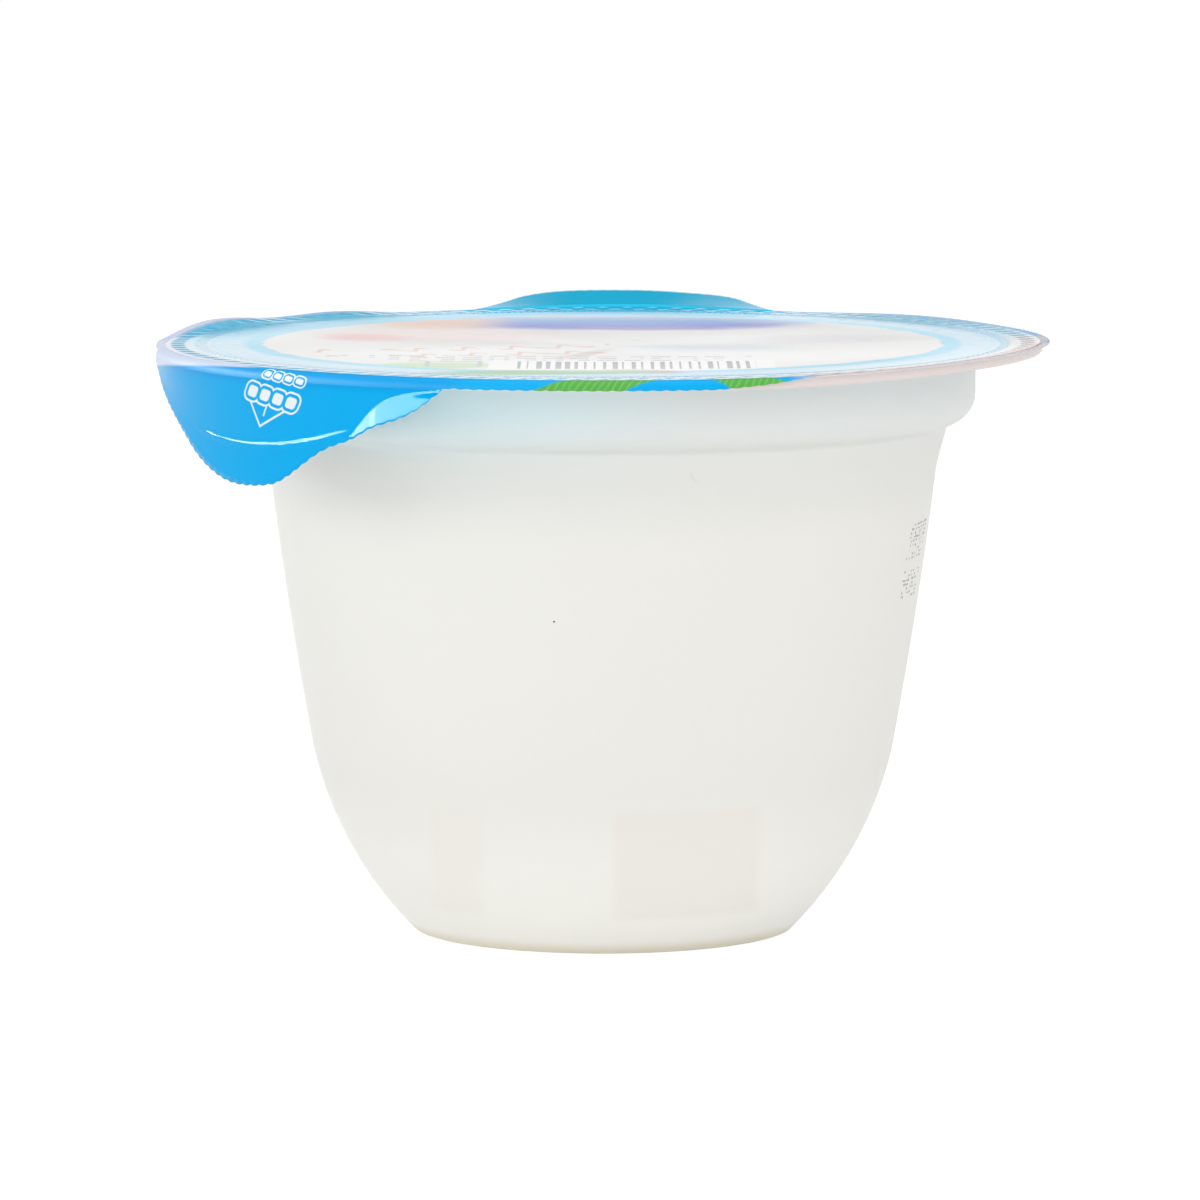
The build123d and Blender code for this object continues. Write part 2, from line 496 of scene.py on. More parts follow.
# %% The fold
def film_points(angle, past, depth, raised):
    """Place of the blank's points: depth is 0 on the top face and the film's thickness below.

    Past the rim the film follows an arc of the fold's radius up to the fold angle, then runs
    straight on. Seen in section, radius and height follow from the sine and cosine of the arc.
    """
    turn = fold_angle(angle)
    sign = np.where(turn < 0, -1.0, 1.0)
    full = np.radians(np.abs(turn))
    arc = np.minimum(np.maximum(past, 0) / fold_radius, full)
    rest = np.where(past > 0, past - fold_radius * arc, past)
    swing = fold_radius - sign * depth
    radius = rim_radius + swing * np.sin(arc) + rest * np.cos(arc)
    height = film_top - sign * (fold_radius - swing * np.cos(arc) + rest * np.sin(arc))
    outwards = push_out(angle, height, past)
    height = height + rim_lift(angle, radius) + sag(radius) + raised * relief(angle, radius)
    radius = radius + outwards
    return np.concatenate([radius[..., None] * directions(angle), height[..., None]], -1)


# %% [markdown]
# ## The scalloped edge
# Lidding film is punched with a fine wavy edge, so that it doesn't tear there. The waves have
# to be even along the edge, and the edge is longer round the tabs. So its length is measured
# first, and the columns of the mesh are then spread evenly along it.

# %% Spread the columns along the edge
FILM_COLUMNS = 1240
scallop_pitch = 1.38
scallop_depth = 0.17

dense = np.linspace(-180, 180, 14401)
dense_length = plain_edge(dense)
dense_edge = film_points(dense, dense_length, 0.0, 0.0)
steps = np.linalg.norm(np.diff(dense_edge, axis=0), axis=1)
run = np.concatenate([[0], np.cumsum(steps)])
columns_run = np.arange(FILM_COLUMNS) * run[-1] / FILM_COLUMNS
film_angles = np.interp(columns_run, run, dense)
scallops = round(run[-1] / scallop_pitch)
dip = 1 - np.abs(np.cos(np.pi * scallops * columns_run / run[-1]))
on_lip = ease(-20, -16, film_angles) * (1 - ease(22, 26, film_angles))
depths = scallop_depth * (1 - 0.4 * on_lip)
edge_length = plain_edge(film_angles) - depths * dip
print("edge", round(run[-1], 1), "mm long,", scallops, "scallops")

# %% Make the film
centre_rows = np.concatenate([np.linspace(3, 33, 5), [36.5, 37.1, 40.0, 42.3]])
knurl_rows = np.linspace(KNURL[0] - 0.15, KNURL[1] + 0.15, 9)
rib_rows = np.array([44.8, 45.1, 45.3, 45.8, 46.2, 46.6, 46.8, 47.2])
flat_rows = np.concatenate([centre_rows, knurl_rows, rib_rows]) - rim_radius
skirt_share = np.linspace(0, 1, 27) ** 1.4
under_share = np.linspace(1, 0, 8) ** 1.6


def skirt_rows(angle, length):
    """Rows past the rim: 27 spread over the whole length, and 13 gathered at the crease.

    Sorting the two sets in each column keeps every column in order from the rim to the edge.
    """
    crease_drop = film_top - crease_height - crease_bow * (angle - crease_middle) ** 2
    crease_past = crease_drop + fold_radius * (math.pi / 2 - 1)
    middle = np.clip(crease_past, 0.3 * length, 0.8 * length)
    spread = np.minimum(1.3, 0.16 * length)
    gathered = middle + np.linspace(-1, 1, 13)[:, None] * spread
    return np.sort(np.concatenate([skirt_share[:, None] * length, gathered]), 0)


top_past = np.concatenate([
    np.repeat(flat_rows[:, None], FILM_COLUMNS, 1),
    skirt_rows(film_angles, edge_length),
])
under_flat = np.array([45.5, 44.0, 42.3, neck_radius, 30.0, 15.0]) - rim_radius
under_past = np.concatenate([
    under_share[:, None] * edge_length,
    np.repeat(under_flat[:, None], FILM_COLUMNS, 1),
])
film_past = np.concatenate([top_past, under_past])
film_angle = np.repeat(film_angles[None], len(film_past), 0)
is_top = (np.arange(len(film_past)) < len(top_past))[:, None]
film_rings = film_points(
    film_angle,
    film_past,
    np.where(is_top, 0.0, film_thickness),
    np.where(is_top, 1.0, 0.0),
)
middle_top = (0, 0, film_top - sag_depth)
middle_under = (0, 0, pot_height - sag_depth)
lid_film = closed_skin("lid_film", film_rings, middle_top, middle_under)
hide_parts("lid")
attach(lid_film, "root")

# %% [markdown]
# ## Where the print goes
# Print belongs to the flat blank, not to the folded film. So each point keeps its place on the
# blank as a UV map named flat, and the print is drawn in that map: it then runs round every fold
# without a break. A second value marks the underside, which isn't printed.

# %% UV map of the blank
BLANK_SIZE = 130.0


def store_blank(piece, places, under):
    """UV map flat: 0.5 + place / blank size. The float attribute underside is 0 or 1."""
    mesh = piece.data
    corner_points = np.empty(len(mesh.loops), np.int32)
    mesh.loops.foreach_get("vertex_index", corner_points)
    layer = mesh.uv_layers.new(name="flat")
    uv = 0.5 + places[corner_points] / BLANK_SIZE
    layer.data.foreach_set("uv", uv.astype(np.float32).ravel())
    attribute = mesh.attributes.new("underside", "FLOAT", "POINT")
    attribute.data.foreach_set("value", under.astype(np.float32))


blank_radius = rim_radius + film_past
blank = (blank_radius[..., None] * directions(film_angle)).reshape(-1, 2)
under = np.repeat(1.0 - is_top, FILM_COLUMNS, 1).ravel()
store_blank(lid_film, np.concatenate([blank, [[0, 0], [0, 0]]]), np.concatenate([under, [0, 1]]))
print("blank reaches", round(blank_radius.max(), 1), "mm from the middle")

# %% [markdown]
# ## Date dots
# A jet printer sprays a date on the wall as rows of tiny dots. These rows say nothing: their dots
# are picked by a seeded draw. Each dot is a flat lens of ink, since ink does stand on the
# plastic, and all are one mesh made from arrays.

# %% Wall of the cup at a height
flank_mask = (section.imag < ledge_height - 1) & (section.real > neck_radius - shoulder_width - 18)
flank_section = section[flank_mask]
flank_section = flank_section[np.argsort(flank_section.imag)]


def on_wall(angle, height):
    """Points of the cup's wall."""
    radius = np.interp(height, flank_section.imag, flank_section.real)
    return np.concatenate([radius[:, None] * directions(angle), height[:, None]], -1)


def ink_lenses(name, angle, height, size):
    """Closed lenses of ink: a ring of seven points and two low tips each."""
    middle = on_wall(angle, height)
    out = np.concatenate([directions(angle), np.zeros((len(angle), 1))], -1)
    side = np.concatenate([directions(angle + 90), np.zeros((len(angle), 1))], -1)
    down = on_wall(angle, height - 0.1) - middle
    down = down / np.linalg.norm(down, axis=1, keepdims=True)
    turn = np.arange(7) * 2 * np.pi / 7
    spread = size[:, None, None] * (
        np.cos(turn)[None, :, None] * side[:, None] + np.sin(turn)[None, :, None] * down[:, None]
    )
    tip = middle[:, None] + 0.03 * out[:, None]
    root = middle[:, None] - 0.03 * out[:, None]
    points = np.concatenate([middle[:, None] + spread, tip, root], 1).reshape(-1, 3)
    start = np.arange(len(angle))[:, None] * 9
    ring = np.arange(7)
    after = (ring + 1) % 7
    upper = np.stack([start + ring, start + after, np.broadcast_to(start + 7, (len(angle), 7))], -1)
    lower = np.stack([start + after, start + ring, np.broadcast_to(start + 8, (len(angle), 7))], -1)
    fans = np.concatenate([upper, lower]).reshape(-1, 3)
    return make_mesh(name, points, np.empty((0, 4), int), fans)


# %% Spray the dots
rng = np.random.default_rng(63)
dot_pitch = 0.45
wall_radius = 35.5      # about where the dots are
speck_angle = -8.57
speck_height = 37.2


def dot_block(first_angle, top, columns, rows, lean, filled):
    """Seeded block of dots: columns round the wall, rows down it, each row a little further on."""
    column, row = np.meshgrid(np.arange(columns), np.arange(rows))
    keep = rng.random(column.shape) < filled
    column, row = column[keep], row[keep]
    height = top - row * dot_pitch + rng.normal(0, 0.03, len(row))
    step = math.degrees(dot_pitch / wall_radius)
    angle = first_angle + (column - lean * row) * step + rng.normal(0, 0.05, len(row))
    return angle, height


upper_block = dot_block(69.5, 45.1, 14, 9, 0.22, 0.5)
lower_block = dot_block(67.8, 40.0, 15, 7, 0.22, 0.42)
dot_angle = np.concatenate([upper_block[0], lower_block[0]])
dot_height = np.concatenate([upper_block[1], lower_block[1]])
dot_size = rng.uniform(0.10, 0.17, len(dot_angle))
ink_dots = ink_lenses("ink_dots", dot_angle, dot_height, dot_size)
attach(ink_dots, "root")
speck = [np.array([value]) for value in (speck_angle, speck_height, 0.11)]
dark_speck = ink_lenses("dark_speck", *speck)
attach(dark_speck, "root")

# %% [markdown]
# ## Arithmetic for materials
# Print, marks and painted light are drawn with node trees. Wired one by one, hundreds of maths nodes
# can't be read. So a small class stands for one number that varies over the surface, and plain sums of
# such numbers make the nodes.


# %% Fields
class Field:
    """A number that varies over a surface: one output of a node tree."""

    def __init__(self, tree, socket):
        self.tree = tree
        self.socket = socket

    def calculate(self, operation, *values):
        node = self.tree.nodes.new("ShaderNodeMath")
        node.operation = operation
        for socket, value in zip(node.inputs, values):
            plug(self.tree, socket, value)
        return Field(self.tree, node.outputs[0])

    def __add__(self, other):
        return self.calculate("ADD", self, other)

    def __sub__(self, other):
        return self.calculate("SUBTRACT", self, other)

    def __rsub__(self, other):
        return self.calculate("SUBTRACT", other, self)

    def __mul__(self, other):
        return self.calculate("MULTIPLY", self, other)

    def __truediv__(self, other):
        return self.calculate("DIVIDE", self, other)

    def size(self):
        return self.calculate("ABSOLUTE", self)

    def lower(self, other):
        return self.calculate("MINIMUM", self, other)

    def higher(self, other):
        return self.calculate("MAXIMUM", self, other)

    def sine(self):
        return self.calculate("SINE", self)

    def cosine(self):
        return self.calculate("COSINE", self)

    def length_with(self, other):
        return self.calculate("SQRT", self * self + other * other)

    def between(self, low, high):
        """0 at low and 1 at high, eased."""
        node = self.tree.nodes.new("ShaderNodeMapRange")
        node.interpolation_type = "SMOOTHSTEP"
        plug(self.tree, node.inputs["Value"], self)
        node.inputs["From Min"].default_value = low
        node.inputs["From Max"].default_value = high
        return Field(self.tree, node.outputs["Result"])

    def inside(self, soft):
        """1 where a signed distance is below 0."""
        return 1 - self.between(-soft, soft)

    def cell_noise(self, other=0.0):
        """One random number for each whole step of two values."""
        node = self.tree.nodes.new("ShaderNodeTexWhiteNoise")
        node.noise_dimensions = "2D"
        joined = self.tree.nodes.new("ShaderNodeCombineXYZ")
        plug(self.tree, joined.inputs["X"], self.calculate("FLOOR", self))
        steps = other.calculate("FLOOR", other) if isinstance(other, Field) else other
        plug(self.tree, joined.inputs["Y"], steps)
        self.tree.links.new(joined.outputs[0], node.inputs["Vector"])
        return Field(self.tree, node.outputs["Value"])


def plug(tree, socket, value):
    """Feed a socket from a field, or set its own number."""
    if isinstance(value, Field):
        tree.links.new(value.socket, socket)
    else:
        socket.default_value = value


# %% Colour and material helpers
def ink(red, green, blue):
    """Linear colour from the 0 to 255 values of a screen: ((c + 0.055) / 1.055) ^ 2.4."""
    screen = np.array([red, green, blue]) / 255
    linear = np.where(screen < 0.04045, screen / 12.92, ((screen + 0.055) / 1.055) ** 2.4)
    return (*linear.tolist(), 1.0)


def layer(tree, below, colour, mask):
    """Colour laid over another, where the mask is 1."""
    node = tree.nodes.new("ShaderNodeMix")
    node.data_type = "RGBA"
    plug(tree, node.inputs["Factor"], mask)
    for socket, value in (("A_Color", below), ("B_Color", colour)):
        target = next(s for s in node.inputs if s.identifier == socket)
        if isinstance(value, tuple):
            target.default_value = value
        else:
            tree.links.new(value, target)
    return next(s for s in node.outputs if s.identifier == "Result_Color")


def new_material(name, piece, constants):
    """Principled material on a piece, with constant values on the shader's own sockets."""
    material = bpy.data.materials.new(name)
    material.use_nodes = True
    shader = material.node_tree.nodes["Principled BSDF"]
    for socket, value in constants.items():
        shader.inputs[socket].default_value = value
    piece.data.materials.clear()
    piece.data.materials.append(material)
    return material.node_tree, shader


def object_fields(tree):
    """Object coordinates in millimetres."""
    texture = tree.nodes.new("ShaderNodeTexCoord")
    split = tree.nodes.new("ShaderNodeSeparateXYZ")
    tree.links.new(texture.outputs["Object"], split.inputs[0])
    return [Field(tree, split.outputs[axis]) * (1 / MM) for axis in range(3)], texture.outputs["Object"]


def noise(tree, vector, scale, detail=2.0):
    """Smooth noise about 0.5. The scale is in waves per metre."""
    node = tree.nodes.new("ShaderNodeTexNoise")
    node.inputs["Scale"].default_value = scale
    node.inputs["Detail"].default_value = detail
    tree.links.new(vector, node.inputs["Vector"])
    return Field(tree, node.outputs[0])


def add_bump(tree, shader, height, distance, strength):
    node = tree.nodes.new("ShaderNodeBump")
    node.inputs["Distance"].default_value = distance * MM
    node.inputs["Strength"].default_value = strength
    tree.links.new(height.socket, node.inputs["Height"])
    tree.links.new(node.outputs[0], shader.inputs["Normal"])


# %% [markdown]
# ## Milky plastic
# The cup is thin, milky polypropylene, filled to a little under the shoulder. Where it is full it
# looks warm white. Above the filling there is only air behind the wall, so it is cooler and a
# little darker; that colour is also painted shade under the flange and painted blue light from the
# film. The bowl is painted lighter towards the base, as painted light on its down-facing side.
# Glass-like translucency would need a real wall and a filling, so the change of colour with height
# is painted instead.

# %% Finish of the cup
tree, shader = new_material("milky_plastic", pot_body, {"Roughness": 0.42, "IOR": 1.49})
(cup_x, cup_y, cup_up), cup_vector = object_fields(tree)
cloud = noise(tree, cup_vector, 28, 3.0)
level = cup_up + (cloud - 0.5) * 3
# Painted light by height: lighter towards the base against the bowl's shade; near the top, partly the
# empty headspace and partly painted shade and painted blue light.
plastic = ink(255, 254, 249)
TINTS_AND_PAINTED_LIGHT = (
    # colour, height where it starts, height above which it is full
    ((239, 238, 233), 4, 20),
    ((229, 230, 226), 44, 53),
    ((223, 231, 232), 53, 61),
)
for shade, start, full in TINTS_AND_PAINTED_LIGHT:
    plastic = layer(tree, plastic, ink(*shade), level.between(start, full))
# Painted light: a blue glow from the tab on the neck below it, which also lightens the tab's shadow
# there.
painted_tab_glow = (cup_x.between(12, -26) * cup_y.between(0, -30) * level.between(50, 61)) * 0.55
plastic = layer(tree, plastic, ink(204, 242, 252), painted_tab_glow)
plastic = layer(tree, plastic, ink(240, 233, 214), 1 - cup_up.between(0.1, 1.6))
# Painted reflections: two warm, darker patches low on the front wall, where the studio is mirrored.
REFLECTION_HEIGHT = 10.4
PAINTED_REFLECTIONS = (
    # middle across, half width, strength
    (8.8, 7.7, 0.28),
    (-15.5, 2.8, 0.2),
)
for middle_x, half_width, strength in PAINTED_REFLECTIONS:
    reflection_patch = (cup_up - REFLECTION_HEIGHT).size().between(6.8, 5.6)
    reflection_patch = reflection_patch * (cup_x - middle_x).size().between(half_width + 0.8, half_width - 0.8)
    reflection_patch = reflection_patch * cup_y.between(0, -5) * strength
    plastic = layer(tree, plastic, ink(236, 230, 219), reflection_patch)
# Painted reflection: a pinkish band on the flange's front edge, where the film's red print is mirrored.
painted_print_reflection = cup_x.between(3, 9) * cup_up.between(61.9, 62.3)
plastic = layer(tree, plastic, ink(230, 218, 215), painted_print_reflection * (1 - cup_y.between(-10, 20)))
HAIR_TOP = 52.95
HAIR_X = 9.2
below_top = HAIR_TOP - cup_up
hair = (cup_x - HAIR_X - below_top * below_top * 0.6).size()
hair = (hair - 0.045).inside(0.05) * (below_top - 0.6).size().between(0.65, 0.5) * cup_y.between(0, -5)
plastic = layer(tree, plastic, ink(186, 186, 182), hair * 0.4)
tree.links.new(plastic, shader.inputs["Base Color"])
grain = noise(tree, cup_vector, 900)
roughness = grain * 0.08 + 0.38
tree.links.new(roughness.socket, shader.inputs["Roughness"])
add_bump(tree, shader, grain, 0.02, 0.25)
print("cup nodes", len(tree.nodes))

# %% [markdown]
# ## Ink
# Jet ink is a dull dark grey. On the pot it has thinned with handling, so it is lighter in
# places, which a noise over the dots gives.

# %% Finish of the marks
tree, shader = new_material("jet_ink", ink_dots, {"Roughness": 0.6})
_, dots_vector = object_fields(tree)
worn = noise(tree, dots_vector, 500).between(0.35, 0.65)
tree.links.new(layer(tree, ink(128, 130, 132), ink(196, 198, 198), worn), shader.inputs["Base Color"])
tree, shader = new_material("dark_dust", dark_speck, {"Roughness": 0.8})
_, speck_vector = object_fields(tree)
dusty = noise(tree, speck_vector, 4000)
tree.links.new(layer(tree, ink(40, 38, 36), ink(80, 76, 70), dusty), shader.inputs["Base Color"])

# %% [markdown]
# ## Printed film
# The print is built up as a printer does it: a flat sky blue first, then the white middle, then
# soft fields, and small marks last. Only fields of colour and plain shapes are drawn, with no
# lettering: where a pack has words there are waves, dashes and outlined pebbles, and the block
# of stripes is a seeded draw that stands for no number. The gloss is what the film is known
# for. A plain shader with a low roughness gives it, and at a low angle it veils the print.
# Some fields are painted light, not print: a brighter blue on the back flap, shade along the tab's
# fold, a pale reflection on its shoulder and a highlight on the brim at the left.

# %% Places on the blank
SKY_BLUE = ink(0, 176, 243)

FILM_FINISH = {"Roughness": 0.08, "IOR": 1.25, "Specular Tint": (0.6, 0.85, 1.0, 1.0)}
tree, shader = new_material("printed_film", lid_film, FILM_FINISH)
uv_node = tree.nodes.new("ShaderNodeUVMap")
uv_node.uv_map = "flat"
uv_split = tree.nodes.new("ShaderNodeSeparateXYZ")
tree.links.new(uv_node.outputs[0], uv_split.inputs[0])
blank_x = (Field(tree, uv_split.outputs["X"]) - 0.5) * BLANK_SIZE
blank_y = (Field(tree, uv_split.outputs["Y"]) - 0.5) * BLANK_SIZE
ring = blank_x.length_with(blank_y)
bearing = blank_x.calculate("ARCTAN2", blank_x, 0 - blank_y) * math.degrees(1)
film_vector = object_fields(tree)[1]
ragged = noise(tree, uv_node.outputs[0], 30, 3.0) - 0.5


def turned(x, y, centre, degrees):
    """Coordinates about a centre, turned by an angle."""
    c = math.cos(math.radians(degrees))
    s = math.sin(math.radians(degrees))
    dx = x - centre[0]
    dy = y - centre[1]
    return dx * c + dy * s, dy * c - dx * s


def box_distance(x, y, width, height, corner=0.0):
    """Signed distance to a box about the origin, less its corner radius."""
    return (x.size() - (width / 2 - corner)).higher(y.size() - (height / 2 - corner)) - corner


def round_box(x, y, width, height, corner):
    """Signed distance to a box with round corners: the box is shrunk and then grown again."""
    past_x = x.size() - (width / 2 - corner)
    past_y = y.size() - (height / 2 - corner)
    outside = past_x.higher(0.0).length_with(past_y.higher(0.0))
    return outside + past_x.higher(past_y).lower(0.0) - corner


def oval_distance(x, y, width, height):
    """Roughly the distance to an oval, negative inside."""
    return ((x / (width / 2)).length_with(y / (height / 2)) - 1) * (min(width, height) / 2)


def paint(colour, mask, strength=1.0):
    """Lay a colour over the print made so far."""
    global printed
    printed = layer(tree, printed, colour, mask * strength)


def ring_band(low, high, soft=0.15):
    return ring.between(low - soft, low + soft) * (1 - ring.between(high - soft, high + soft))


def sector(start, end, soft=3.0):
    """1 between two bearings."""
    return bearing.between(start - soft, start + soft) * (1 - bearing.between(end - soft, end + soft))


# %% Ground, rings and middle
RING_BLUE = ink(102, 220, 255)
SEAM_PALE = ink(222, 243, 255)
SEAM_BLUE = ink(104, 206, 255)
FLAP_LIGHTENED_BLUE = ink(0, 208, 255)
MIDDLE_RADIUS = 36.8
printed = SKY_BLUE
front_side = blank_y.between(18, -8)
right_side = blank_x.between(-6, 30)
paint(RING_BLUE, ring_band(MIDDLE_RADIUS, 47.1, 0.3))
inner_pale = ring_band(38.8, 42.4, 0.6) * front_side.higher(right_side).higher(0.2)
paint(SEAM_PALE, inner_pale, 0.75)
outer_pale = ring_band(42.4, 47.2, 0.2) * front_side.higher(right_side * 0.6).higher(0.15)
paint(SEAM_PALE, outer_pale, 0.9)
ticks = (bearing * math.radians(RIB_COUNT)).sine().between(-0.1, 0.3)
paint(SEAM_BLUE, ring_band(*RIBS) * ticks, 0.8)
knots = (bearing * math.radians(KNURL_COUNT)).sine() * (ring * (2 * math.pi / knurl_row)).sine()
paint(SEAM_BLUE, ring_band(*KNURL) * knots.between(0.0, 0.3), 0.8)
smears = noise(tree, uv_node.outputs[0], 90, 4.0).between(0.5, 0.62) * ring_band(39.0, 46.8, 0.5)
paint(SKY_BLUE, smears * (1 - front_side * 0.6), 0.35)
# The film's pale edge; at the left it is painted fully pale, as a painted highlight.
brim = ring_band(46.9, 48.4, 0.25) * (1 - sector(-80, 100, 8.0))
brim = brim * blank_x.between(-30, -40).higher(0.6)
paint(ink(226, 228, 246), brim, 0.85)
white_middle = (ring - MIDDLE_RADIUS + ragged * 1.2).inside(0.3)
paint(ink(238, 239, 236), white_middle)
# Painted light: the back flap has the tab's blue ink, painted brighter where the flap gets less light.
from_flap = bearing - back_tab_angle
flap = from_flap.size().lower((from_flap + 360).size()).between(23.5, 21.5)
paint(FLAP_LIGHTENED_BLUE, flap * ring.between(37.4, 38.0))

# %% Fields of colour in the middle
FIELDS = (
    # middle, size, turn, colour, softness, strength
    ((2, 26), (36, 12), 0, (20, 60, 220), 2.0, 1.0),
    ((2, 31), (42, 12), 0, (0, 150, 235), 3.0, 0.8),
    ((6, 22), (22, 4), 0, (170, 120, 205), 1.5, 0.5),
    ((-19, 28), (15, 16), 0, (250, 205, 180), 4.0, 0.9),
    ((-26, 9), (9, 9), 0, (238, 90, 96), 2.5, 0.55),
    ((-18, 12), (26, 15), 0, (246, 176, 170), 4.0, 0.35),
    ((25, 7), (16, 10), 0, (206, 192, 206), 4.0, 0.6),
    ((10, -3), (16, 10), 0, (214, 218, 238), 4.0, 0.6),
    ((-2, -12), (2.4, 13), -20, (178, 166, 160), 0.8, 0.7),
    ((-18, -29), (14, 9), 12, (166, 214, 130), 1.2, 0.9),
    ((4, -36), (9, 5), -28, (176, 110, 96), 0.8, 0.8),
    ((-6, -37.5), (24, 6), 4, (96, 186, 84), 0.8, 0.9),
)
for centre, size, turn, shade, soft, strength in FIELDS:
    x, y = turned(blank_x, blank_y, centre, turn)
    mask = (oval_distance(x, y, *size) + ragged * soft).inside(soft)
    if abs(centre[1]) < 36:
        mask = mask * white_middle
    paint(ink(*shade), mask, strength)
print(len(FIELDS), "fields of colour")

# %% Waves and dashes
WAVE_LEAN = 17
for centre, size in (((-15, -5), (34, 5)), ((-14, -13), (32, 5))):
    x, y = turned(blank_x, blank_y, centre, WAVE_LEAN)
    wave = (y - (x * 1.2).sine() * 1.5 - (x * 2.3).sine() * 0.7).size() - 0.8
    gaps = (x * 0.55 + 20).cell_noise(3.0).between(0.28, 0.34)
    mask = wave.inside(0.5) * box_distance(x, y, *size).inside(0.5) * gaps
    paint(ink(222, 134, 70), mask, 0.7)

DASH_PITCH = 2.4
for row in range(4):
    x, y = turned(blank_x, blank_y, (-6, -15.5 - DASH_PITCH * row), 0)
    dash = (x * 0.9 + 40 * row).cell_noise(0.0).between(0.3, 0.32)
    mask = box_distance(x, y, 44 - 5 * row, 1.0).inside(0.1) * dash
    mask = mask * (x * 2.2).sine().between(-0.8, -0.5)
    paint(ink(120, 118, 122), mask, 0.75)

# %% Block of stripes
x, y = turned(blank_x, blank_y, (3, -27.2), 0)
paint(ink(250, 250, 250), box_distance(x, y, 30, 12.5).inside(0.15) * white_middle)
within_cell = x.calculate("FRACT", x + 60)
bar_width = x.cell_noise(7.0) * 0.5 + 0.15
stripe = (within_cell - bar_width).inside(0.03)
paint(ink(70, 72, 82), stripe * box_distance(x - 0.5, y + 0.2, 25, 10.4).inside(0.1))
x, y = turned(blank_x, blank_y, (-15.7, -26.5), 0)
frame_line = box_distance(x, y, 5.5, 7, 0.5).size() - 0.25
paint(ink(140, 142, 146), frame_line.inside(0.1), 0.8)

# %% Rim of the right side
brown_side = sector(26, 84, 3.0)
paint(ink(240, 222, 216), ring_band(44.2, 60.0) * brown_side, 0.85)
paint(ink(160, 84, 70), ring_band(46.7, 47.5, 0.25) * brown_side, 0.9)
paint(ink(236, 216, 212), ring_band(44.0, 48.4, 0.4) * sector(84, 98, 6.0), 0.8)

# %% Lip
past_rim = ring.between(47.0, 47.4)
LEAVES = (
    # bearing of its start, of its end, slant of its ends
    (-6.4, 4.6, 2.6),
    (14.6, 22.6, -1.6),
)
for start, end, slant in LEAVES:
    along = bearing + (ring - 48.3) * slant
    leaf = along.between(start - 0.5, start + 0.5) * (1 - along.between(end - 0.5, end + 0.5))
    leaf = leaf * past_rim
    paint(ink(92, 178, 78), leaf)
    veins = ((bearing * 7 + ring * 5 + ragged * 9).sine()).between(0.2, 0.9)
    paint(ink(126, 200, 92), leaf * veins, 0.7)

# %% Shoulder of the tab: painted shade along the fold and a painted reflection
shoulder_line = (bearing * math.radians(1)).cosine() * 4.03
tab_side = sector(-93, -50, 3.0)
fold_shade = ring_band(47.6, 49.6, 0.5) * sector(-84, -18, 3.0)
paint(ink(0, 158, 232), fold_shade, 0.7)
# Painted reflection: a pale field on the tab's left shoulder, where the glossy fold mirrors the white
# sweep.
painted_sweep_reflection = (ring + shoulder_line - 50.5).inside(0.18) * ring.between(46.7, 47.1) * tab_side
paint(ink(226, 231, 248), painted_sweep_reflection, 0.9)

# %% Signs on the tab
tab_across = (bearing - tab_angle) * math.radians(skirt_radius)
tab_down = ring - (rim_radius + fold_radius * (math.pi / 2 - 1) + film_thickness)
on_tab = ring.between(47.6, 47.9)
WHITE = ink(238, 246, 250)


def half_plane(x, y, start, end):
    """Signed distance to the line from start to end, positive on its left."""
    length = math.dist(start, end)
    nx = (end[1] - start[1]) / length
    ny = -(end[0] - start[0]) / length
    return (x - start[0]) * nx + (y - start[1]) * ny


SIGN_TURN = 12
LINE = 0.11
THIN_LINE = 0.08
corners = ((1.3, 3.25), (7.4, 3.8), (2.9, 5.9))
sides = [half_plane(tab_across, tab_down, a, b) for a, b in zip(corners, corners[1:] + corners[:1])]
triangle = sides[0].higher(sides[1]).higher(sides[2])
paint(WHITE, (triangle.size() - LINE).inside(0.05))
tick_x, tick_y = turned(tab_across, tab_down, (3.75, 4.2), SIGN_TURN)
paint(WHITE, box_distance(tick_x + tick_y * 0.25, tick_y, 0.2, 1.3).inside(0.06))


def pebble(centre, width, height, corner):
    """Distance to a slanted pebble, which stands where a pack has a letter."""
    x, y = turned(tab_across, tab_down, centre, SIGN_TURN)
    return round_box(x + y * 0.3, y, width, height, corner)


row = [pebble((1.8 + 1.95 * k, 2.3 + 0.3 * k), 1.65, 1.5, 0.5) for k in range(4)]
outline = row[0].lower(row[1]).lower(row[2]).lower(row[3])
paint(SKY_BLUE, (outline - 0.36).inside(0.05) * on_tab)
paint(WHITE, ((outline - 0.36).size() - LINE).inside(0.05) * on_tab)
paint(WHITE, (outline + 0.12).inside(0.05))
small = [pebble((4.1 + 1.6 * k, 0.3 + 0.2 * k), 1.15, 0.75, 0.3) for k in range(4)]
outline = small[0].lower(small[1]).lower(small[2]).lower(small[3])
paint(WHITE, ((outline - 0.24).size() - THIN_LINE).inside(0.05) * on_tab)
paint(WHITE, (outline + 0.08).inside(0.05) * on_tab)

# %% Underside, wrinkles and finish
underside = tree.nodes.new("ShaderNodeAttribute")
underside.attribute_name = "underside"
paint(ink(226, 230, 232), Field(tree, underside.outputs["Fac"]))
tree.links.new(printed, shader.inputs["Base Color"])
wrinkle = noise(tree, film_vector, 160, 3.0)
fine = noise(tree, film_vector, 1500)
at_fold = ring_band(47.3, 49.2, 0.1) * 0.45
tree.links.new((fine * 0.06 + 0.04 + at_fold).socket, shader.inputs["Roughness"])
add_bump(tree, shader, wrinkle + fine * 0.06, 0.15, 0.12)
print("film nodes", len(tree.nodes))

